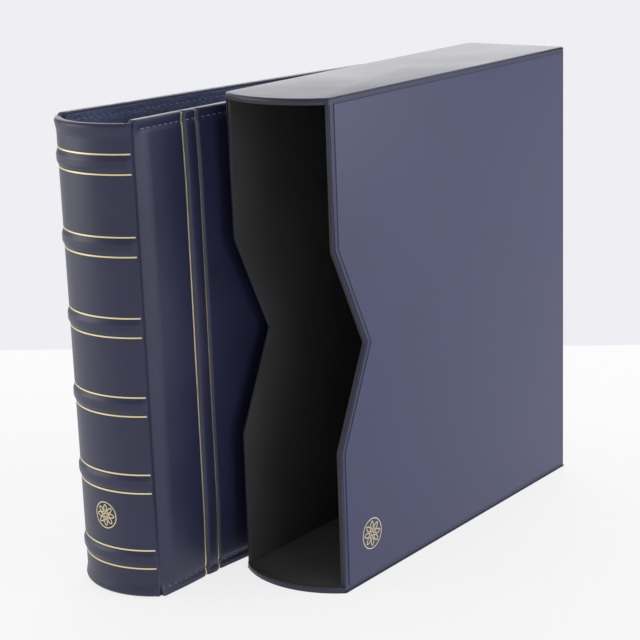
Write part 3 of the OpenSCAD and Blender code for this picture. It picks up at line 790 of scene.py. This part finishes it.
def lining_sheet(name, side):
    """The lining inside a cover, pasted over the leather that is turned in"""
    sizes = bpy.context.scene.stamp_cover
    inset, rise = sizes.lining_in, sizes.lining_rise
    # a little more leather shows at the hinge
    low = (COVER_FROM + 1.5 * inset, inset)
    high = (COVER_TO - inset, ALBUM_H - inset)
    outline = low, high, sizes.lining_corner
    # how deep the sewing dents it, and how far it is let into the leather
    dent, bedded = 0.15 * MM, 0.25 * MM

    def outer(y, z):
        edge = min(y - low[0], high[0] - y, z - low[1], high[1] - z)
        seam = hump(edge + inset - sizes.seam_in, sizes.seam_width)
        across = COVER_IN - rise + (edge_drop(edge, rise) + dent * seam)
        return rounded_point(side, across, y, z, *outline)

    def inner(y, z):
        return rounded_point(side, COVER_IN + bedded, y, z, *outline)

    columns, rows = (close_at_ends(start, end, 5 * MM, 7 * MM, 0.5 * MM)
                     for start, end in zip(low, high))
    return shell(name, columns, rows, outer, inner)


class STAMP_OT_covers(bpy.types.Operator):
    """Make the two padded covers, with their sewn edges and pressed furrows"""

    bl_idname = "stamp_album.covers"
    bl_label = "Padded covers"

    def execute(self, context):
        for side, name in COVERS:
            body = name + "_cover"
            cover = padded_cover(name + "_cover_leather", side)
            dress(cover, "leather", body,
                  [name + "_leatherette", name + "_padding", name + "_board"])
            lining = lining_sheet(name + "_cover_lining", side)
            dress(lining, "lining", body, [name + "_lining"])
        return {"FINISHED"}


# ---- The spine ----


def spine_end(z):
    """Distance from the nearer end of the leather"""
    return min(z - SKIN_TAIL, SKIN_HEAD - z)


def spine_rise(z):
    """How far the leather stands out from the plain curve of the spine at a height"""
    sizes = bpy.context.scene.stamp_spine
    rise = 0
    for i in range(BAND_COUNT):
        off = abs(z - BAND_FIRST - i * BAND_PITCH)
        rise += sizes.band_rise * (1 - smooth(off, sizes.band_crest / 2, sizes.band_width / 2))
    full = 0.2 * sizes.roll_height
    return rise + sizes.roll_rise * (1 - smooth(spine_end(z), full, sizes.roll_height))


def spine_reach(angle, z):
    """Distance of the leather's face from the spine's axis"""
    # the bands and the rolls sink away towards the grooves
    fade = smooth(SKIN_ANGLE - abs(angle), math.radians(-2), math.radians(5))
    sizes = bpy.context.scene.stamp_spine
    return SPINE_R + spine_rise(z) * fade - edge_drop(spine_end(z), sizes.rim_radius)


def spine_point(angle, reach, z):
    return album_point(reach * math.sin(angle), SPINE_CENTRE - reach * math.cos(angle), z)


def spine_skin():
    """The leather over the spine, turned in over the head and the tail"""
    sizes = bpy.context.scene.stamp_spine
    step, near, fine = (math.radians(turn) for turn in (1.2, 4, 0.5))
    angles = close_at_ends(-SKIN_ANGLE, SKIN_ANGLE, step, near, fine)
    margin = 1 * MM
    half, roll = sizes.band_width / 2 + margin, sizes.roll_height + margin
    bands = [BAND_FIRST + i * BAND_PITCH for i in range(BAND_COUNT)]
    heights = stations(SKIN_TAIL, SKIN_HEAD, 6 * MM,
                       [(z - half, z + half, 0.6 * MM) for z in bands]
                       + [(SKIN_TAIL, roll, 0.4 * MM), (SKIN_HEAD - roll, SKIN_HEAD, 0.4 * MM)])

    def outer(angle, z):
        return spine_point(angle, spine_reach(angle, z), z)

    def inner(angle, z):
        # near the ends it is thicker by the leather that is turned in
        end = spine_end(z)
        thick = SPINE_T - (LEATHER_T if end > TURN_IN else 0)
        thick -= edge_drop(end, sizes.turn_radius)
        taper = smooth(SPINE_ANGLE - abs(angle), 0, math.radians(6))
        return spine_point(angle, SPINE_R - LEATHER_T - (thick - LEATHER_T) * taper, z)

    return shell("spine_leather", angles, heights, outer, inner)


def hinge_leather(name, side):
    """The leather in the groove between the spine and a cover, and where its bending runs"""
    edge = Vector((SPINE_HALF, 0))
    path = [edge + Vector(step) * MM for step in GROOVE_STEPS]
    split = 3
    fine = [a.lerp(b, k / split) for a, b in zip(path, path[1:]) for k in range(split)]
    fine.append(path[-1])
    # the leather's thickness, and how far it stops short of the spine's
    thick, short = 0.7 * MM, 0.4 * MM
    backs = []
    for i, point in enumerate(fine):
        run = fine[min(i + 1, len(fine) - 1)] - fine[max(i - 1, 0)]
        backs.append(point - Vector((run.y, -run.x)).normalized() * thick)

    def strip_point(place, z):
        return album_point(side * place.x, place.y, z)

    piece = shell(name, range(len(fine)),
                  stations(SKIN_TAIL + short, SKIN_HEAD - short, 8 * MM),
                  lambda i, z: strip_point(fine[i], z), lambda i, z: strip_point(backs[i], z))
    return piece, *(strip_point(path[i], 0) for i in GROOVE_BLEND)


class STAMP_OT_spine(bpy.types.Operator):
    """Make the leather over the spine, its raised bands and the leather in the two grooves"""

    bl_idname = "stamp_album.spine"
    bl_label = "Spine leather"

    def execute(self, context):
        dress(spine_skin(), "leather", "spine",
              ["spine_leatherette", "raised_bands", "spine_board"])
        for side, name in COVERS:
            piece, start, end = hinge_leather(name + "_hinge_leather", side)
            dress(piece, "leather", None, [name + "_joint_strip"])
            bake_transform(piece)
            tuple(start)
            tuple(end)
        dress_node("spine_lining", "lining")
        return {"FINISHED"}


# ---- Foil and stitching ----


def cover_surface(side):
    """A cover's face, for lines that end just short of its head and its tail"""
    short = 0.6 * MM

    def surface(y, z, h):
        z_in = min(max(z, short), ALBUM_H - short)
        return cover_point(side, COVER_OUT - cover_height(y, z_in) + h, y, z_in)

    return surface


def spine_surface(x, z, h):
    """The spine's face: x is measured round it from its middle"""
    angle = x / SPINE_R
    return spine_point(angle, spine_reach(angle, z) + h, z)


def case_surface(y, z, h):
    """The slipcase's right side"""
    return Vector((CASE_X + h, y, z))


def pressed(name, paths, width, surface, centre=(0, 0)):
    """Foil along paths round that centre of a surface"""
    return ribbons(name, paths, width, bpy.context.scene.stamp_foil.foil_rise,
                   lambda u, v, h: surface(u + centre[0], v + centre[1], h))


def rosette_paths(diameter, petals):
    """A ring with a flower of pointed petals in it, as closed paths round (0, 0)"""
    outer = diameter / 2
    ring_points, steps = 72, 10
    ring = [(outer * math.cos(a), outer * math.sin(a))
            for a in (math.tau * i / ring_points for i in range(ring_points))]
    heart = [(0.16 * x, 0.16 * y) for x, y in ring[::4]]
    paths = [(ring, True), (heart, True)]
    root, tip, belly = 0.24 * outer, 0.84 * outer, 0.15 * outer
    for petal in range(petals):
        turn = math.tau * petal / petals + math.pi / 2
        outline = []
        for i in range(2 * steps):
            t = i / steps if i <= steps else 2 - i / steps
            along = root + (tip - root) * t
            wide = belly * math.sin(math.pi * t) * (1 if i <= steps else -1)
            outline.append((along * math.cos(turn) - wide * math.sin(turn),
                            along * math.sin(turn) + wide * math.cos(turn)))
        paths.append((outline, True))
    return paths


class STAMP_OT_foil(bpy.types.Operator):
    """Press the gold lines and the rosettes"""

    bl_idname = "stamp_album.foil"
    bl_label = "Gold lines and rosettes"

    def execute(self, context):
        foil = context.scene.stamp_foil
        reach = SPINE_R * SKIN_ANGLE - foil.line_side
        steps = stations(-reach, reach, 1.2 * MM)
        lines = [([(x, BAND_FIRST + s * foil.line_out) for x in steps], False) for s in (-1, 1)]
        piece = pressed("spine_gold_lines", lines, foil.spine_line, spine_surface)
        run_group(piece, repeat_tree(), {
            "Count": BAND_COUNT, "Pitch": BAND_PITCH, "Material": finish_of("gold"),
        })
        dress(piece, "gold", "spine")
        heights = cover_rows()[1:-1]
        lines = [([(y, z) for z in heights], False) for y in (FURROW_IN, SECOND_FURROW)]
        for side, name in COVERS:
            piece = pressed(name + "_gold_lines", lines, foil.cover_line, cover_surface(side))
            dress(piece, "gold", name + "_cover")
        for name, body, diameter, surface, centre in (
            ("spine_rosette", "spine", foil.rosette, spine_surface, SPINE_ROSETTE),
            ("case_rosette", "slipcase", foil.case_rosette, case_surface, CASE_ROSETTE),
        ):
            paths = rosette_paths(diameter, foil.petals)
            dress(pressed(name, paths, foil.rosette_line, surface, centre), "gold", body)
        return {"FINISHED"}


def seam_mesh(name, side, inside):
    """The line of a cover's sewing, as edges in the middle of its valley"""
    sizes = bpy.context.scene.stamp_cover
    start = COVER_FROM + bpy.context.scene.stamp_stitch.start
    inset = sizes.seam_in
    top, bottom, far = ALBUM_H - inset, inset, COVER_TO - inset
    along, down = stations(start, far, 2 * MM), stations(bottom, top, 2 * MM)
    path = [(y, top) for y in along] + [(far, z) for z in reversed(down)][1:]
    path += [(y, bottom) for y in reversed(along)][1:]
    # how far the thread's middle stands over the leather, and how much more over a lined face
    over, over_lining = 0.12 * MM, 0.1 * MM
    surface = cover_surface(side)
    points = [
        cover_point(side, COVER_IN - over_lining - over, y, z) if inside else surface(y, z, over)
        for y, z in path
    ]
    return mesh_of(name, points, [], [(i, i + 1) for i in range(len(path) - 1)])


class STAMP_OT_stitching(bpy.types.Operator):
    """Sew the covers round their three free sides, outside and inside"""

    bl_idname = "stamp_album.stitching"
    bl_label = "Stitching"

    def execute(self, context):
        sizes = context.scene.stamp_stitch
        tree = stitch_tree()
        for side, name in COVERS:
            for inside, place in ((False, "outer"), (True, "inner")):
                mesh = seam_mesh(f"{name}_{place}_stitches", side, inside)
                piece = in_scene(mesh.name, mesh)
                run_group(piece, tree, {
                    "Pitch": sizes.pitch, "Length": sizes.length, "Thread": sizes.thread,
                    "Material": finish_of("thread"),
                }, sharp=180)
                dress(piece, "thread", name + "_cover")
        return {"FINISHED"}


# ---- Rings, leaves and slipcase ----


class STAMP_OT_mechanism(bpy.types.Operator):
    """Plate the ring mechanism and finish the leaves and their pockets"""

    bl_idname = "stamp_album.mechanism"
    bl_label = "Ring mechanism and leaves"

    def execute(self, context):
        for name in ("ring_rail", "rail_rivets", "lever_pins", "left_blade", "left_ring_halves",
                     "right_blade", "right_ring_halves", "upper_lever", "lower_lever"):
            dress_node(name, "nickel")
        dress_node("rail_bed", "lining")
        for leaf in range(1, 7):
            dress_node(f"leaf_{leaf}", "card")
            dress_node(f"pockets_{leaf}", "film")
        return {"FINISHED"}


class STAMP_OT_slipcase(bpy.types.Operator):
    """Round the slipcase's edges and cover it"""

    bl_idname = "stamp_album.slipcase"
    bl_label = "Slipcase"

    def execute(self, context):
        sizes = context.scene.stamp_case
        low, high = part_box("case_wrap")

        def is_outside(place, normal):
            # the bottom keeps its sharp edges, which stand on the floor
            if abs(normal.x) > FACING:
                return high.x - abs(place.x) < SLACK
            if abs(normal.z) > FACING:
                return high.z - place.z < SLACK
            return normal.y < -LEANING or high.y - place.y < SLACK

        def is_sheet_edge(place, normal):
            return abs(normal.x) < LEANING or CASE_X - abs(place.x) < SLACK

        wrap = softened("case_covering", "case_wrap", sizes.wrap_bevel, is_outside,
                        under_mouth_paper)
        # its border round a side sheet lies lower than the sheet
        for vert in wrap.data.vertices:
            if CASE_X - abs(vert.co.x) < SLACK:
                vert.co.x -= math.copysign(sizes.sheet_rise, vert.co.x)
        # the covering round the edges takes the darker copy of the paper, as painted shade
        dress(wrap, "shaded_binding", "slipcase", ["case_wrap"])
        # the paper's outline is set in across and up, and left free along the slipcase
        inset = Vector((sizes.paper_in, -1, sizes.paper_in))
        paper = edging("case_mouth_paper", "case_wrap", (low + inset, high - inset),
                       sizes.paper_rise)
        dress(paper, "paper", "slipcase")
        for side in ("left", "right"):
            sheet = softened(f"case_{side}_side", f"case_{side}_sheet", sizes.sheet_bevel,
                             is_sheet_edge)
            # its rim reaches out over the border, so that no board shows beside it
            for vert in sheet.data.vertices:
                vert.co += Vector((0, vert.normal.y, vert.normal.z)) * sizes.sheet_rise
            # each side sheet takes the lighter copy of the paper, as painted light
            dress(sheet, "covering", "slipcase", [f"case_{side}_sheet"])
        # the base sheet takes the darker copy as well, as painted shade
        dress_node("case_base_sheet", "shaded_binding")
        inside = softened("case_inside", "case_lining", 0, lambda place, normal: False)
        dress(inside, "paper", "slipcase", ["case_lining"])
        for name in ("left", "right", "top", "bottom", "back"):
            dress_node(f"case_{name}_board", "board")
        return {"FINISHED"}


# ---- The stage ----


def camera_axes(stage):
    """The directions to the right, up and ahead of the camera"""
    ahead = Vector((-math.sin(stage.yaw) * math.cos(stage.pitch),
                    math.cos(stage.yaw) * math.cos(stage.pitch), -math.sin(stage.pitch)))
    level = Vector((math.cos(stage.yaw), math.sin(stage.yaw), 0))
    above = level.cross(ahead)
    turn = stage.roll
    right = math.cos(turn) * level + math.sin(turn) * above
    return right, -math.sin(turn) * level + math.cos(turn) * above, ahead


def stage_paint(name, tone, glow):
    """Matt studio paint that shows its own colour where it is seen, and keeps some shadow"""
    material, tree = new_material(name)
    place = node(tree, "ShaderNodeTexCoord")
    # rolled by hand: the tone drifts a little over 0.7 m
    uneven = node(tree, "ShaderNodeTexNoise", [("Scale", 1.5), ("Detail", 2)],
                  [("Vector", place, "Object")])
    ramp = node(tree, "ShaderNodeValToRGB", links=[("Fac", uneven, "Fac")])
    ramp.color_ramp.elements[0].color = rgba(tone, 0.985)
    ramp.color_ramp.elements[1].color = rgba(tone)
    matt = node(tree, "ShaderNodeBsdfPrincipled",
                [("Roughness", 0.7), ("Specular IOR Level", 0.2)], [("Base Color", ramp, 0)])
    light = node(tree, "ShaderNodeEmission", [("Strength", 1)], [("Color", ramp, 0)])
    ray = node(tree, "ShaderNodeLightPath")
    direct = node(tree, "ShaderNodeMath",
                  links=[(0, ray, "Is Camera Ray"), (1, ray, "Is Glossy Ray")], operation="ADD")
    seen = node(tree, "ShaderNodeMath",
                links=[(0, direct, 0), (1, ray, "Is Transmission Ray")], operation="ADD",
                use_clamp=True)
    share = node(tree, "ShaderNodeMath", [(1, glow)], [(0, seen, 0)], operation="MULTIPLY")
    close(tree, node(tree, "ShaderNodeMixShader",
                     links=[(0, share, 0), (1, matt, 0), (2, light, 0)]))
    return material


class STAMP_OT_stage(bpy.types.Operator):
    """Set the camera, the floor, the backdrop and the lights"""

    bl_idname = "stamp_album.stage"
    bl_label = "Stage"

    def execute(self, context):
        scene = context.scene
        stage = scene.stamp_stage
        right, up, ahead = camera_axes(stage)
        place = Vector(stage.place)
        data = bpy.data.cameras.new("Camera")
        data.lens = stage.lens / MM
        data.sensor_width = FILM_WIDTH / MM
        data.sensor_fit = "HORIZONTAL"
        data.clip_start, data.clip_end = 0.05, 30
        camera = in_scene("Camera", data)
        turn = Matrix((right, up, -ahead)).transposed().to_4x4()
        camera.matrix_world = Matrix.Translation(place) @ turn
        scene.camera = camera

        def floor_point(px, py):
            """Where the line of sight through that pixel of the render meets the floor"""
            focus = stage.lens / FILM_WIDTH * IMAGE_PIXELS
            ray = ahead * focus + right * (px - IMAGE_PIXELS / 2) - up * (py - IMAGE_PIXELS / 2)
            return place - ray * (place.z / ray.z)

        # two sheets of studio paper meet behind the slipcase
        left, far_right = floor_point(0, STAGE_LEFT), floor_point(IMAGE_PIXELS, STAGE_RIGHT)
        along = (far_right - left).normalized() * STAGE_REACH
        away = UP.cross(along)
        middle = (left + far_right) / 2
        sheets = {"floor": (-1, stage.floor, stage.floor_glow), "backdrop": (1, stage.wall, 1)}
        for name, (side, tone, glow) in sheets.items():
            edge = [middle - along, middle + along]
            corners = edge + [point + away * side for point in reversed(edge)]
            mesh = mesh_of(name, corners[::side], [(0, 1, 2, 3)])
            mesh.materials.append(stage_paint(f"Pale studio {name}", tone, glow))
            in_scene(name, mesh)

        for name, (spot, width, height, watts) in LAMPS.items():
            data = bpy.data.lights.new(name, "AREA")
            data.shape = "RECTANGLE"
            data.size, data.size_y, data.energy = width, height, watts
            lamp = in_scene(name, data)
            lamp.location = spot
            lamp.visible_camera = False
            look = Vector(LAMP_AIM) - Vector(spot)
            lamp.rotation_euler = look.to_track_quat("-Z", "Y").to_euler()

        world = bpy.data.worlds.new("Studio")
        scene.world = world
        world.use_nodes = True
        tree = world.node_tree
        tree.nodes.clear()
        room = node(tree, "ShaderNodeBackground",
                    [("Color", (1, 1, 1, 1)), ("Strength", stage.room)])
        node(tree, "ShaderNodeOutputWorld", links=[("Surface", room, 0)])
        scene.view_settings.view_transform = "Standard"
        return {"FINISHED"}


# ---- Panel ----


class STAMP_PT_panel(bpy.types.Panel):
    """The pieces of the album and its slipcase"""

    bl_label = "Stamp album"
    bl_idname = "STAMP_PT_panel"
    bl_space_type = "VIEW_3D"
    bl_region_type = "UI"
    bl_category = "Stamp album"

    def draw(self, context):
        for operator in OPERATORS:
            self.layout.operator(operator.bl_idname)
        for name in GROUPS:
            group = getattr(context.scene, name)
            box = self.layout.box()
            for prop in GROUPS[name].__annotations__:
                box.prop(group, prop)


OPERATORS = (STAMP_OT_covers, STAMP_OT_spine, STAMP_OT_foil, STAMP_OT_stitching,
             STAMP_OT_mechanism, STAMP_OT_slipcase, STAMP_OT_stage)
CLASSES = (*GROUPS.values(), *OPERATORS, STAMP_PT_panel)


def register():
    for each in CLASSES:
        bpy.utils.register_class(each)
    for name, group in GROUPS.items():
        setattr(bpy.types.Scene, name, PointerProperty(type=group))


def unregister():
    for name in GROUPS:
        delattr(bpy.types.Scene, name)
    for each in reversed(CLASSES):
        bpy.utils.unregister_class(each)


def main():
    register()
    for operator in OPERATORS:
        group, call = operator.bl_idname.split(".")
        getattr(getattr(bpy.ops, group), call)()


if __name__ == "__main__":
    main()
